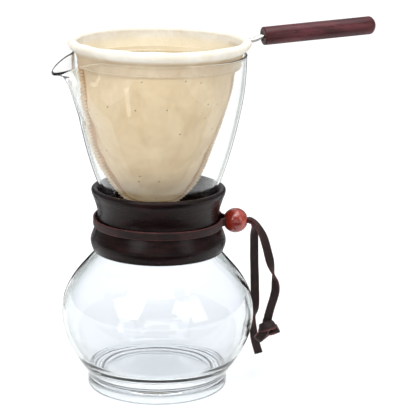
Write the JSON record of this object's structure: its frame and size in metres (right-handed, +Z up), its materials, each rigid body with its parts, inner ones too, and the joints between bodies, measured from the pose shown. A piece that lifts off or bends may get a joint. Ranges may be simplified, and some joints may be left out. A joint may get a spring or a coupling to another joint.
{
  "type": "cloth filter coffee drip pot",
  "caption": "Blown glass drip pot with a flared cup, waist and round bulb, wooden collar tied by a thong and bead, and a cloth filter on a handled wire hoop.",
  "frame": {"origin": "centre of the pot's foot ring, on the table", "axes": "+Z up along the pot's axis; +X from the pot's axis to the bead; +Y to the back of the collar's split"},
  "size_m": [0.1824, 0.1102, 0.2091],
  "materials": {
    "pot_glass": "clear, fire-polished",
    "collar_wood": "dark stained, satin lacquer",
    "thong_leather": "flat leather lace, matt with a worn edge",
    "bead_wood": "red-brown stain, gloss lacquer",
    "hoop_steel": "bright drawn wire",
    "handle_wood": "dark red-brown stain, satin lacquer",
    "bag_cloth": "unbleached cotton flannel",
    "hem_cloth": "rolled cotton flannel hem",
    "thread": "cotton sewing thread"
  },
  "bodies": {
    "pot": {"glass_pot": "pot_glass", "collar_front": "collar_wood", "collar_back": "collar_wood", "thong_loop": "thong_leather"},
    "filter": {"hoop_wire": "hoop_steel", "handle": "handle_wood", "bag_front": "bag_cloth", "bag_back": "bag_cloth", "hem_band": "hem_cloth", "hem_stitch": "thread", "seam_edge": "thread"},
    "thong_end": {"thong_ends": "thong_leather", "thong_tail_plain": "thong_leather", "thong_tail_knotted": "thong_leather", "thong_knot": "thong_leather"},
    "bead": {"bead": "bead_wood"}
  },
  "joints": [
    {"name": "filter_lift", "type": "slide", "parent": "pot", "child": "filter", "axis": [0, 0, 1], "range_m": [0, 0.11]},
    {"name": "bead_slide", "type": "slide", "parent": "pot", "child": "thong_end", "axis": [1, 0, 0], "range_m": [0, 0.007]},
    {"name": "bead_spin", "type": "hinge", "parent": "thong_end", "child": "bead", "pos_m": [0.0439, 0, 0.0972], "axis": [1, 0, 0], "continuous": true}
  ]
}
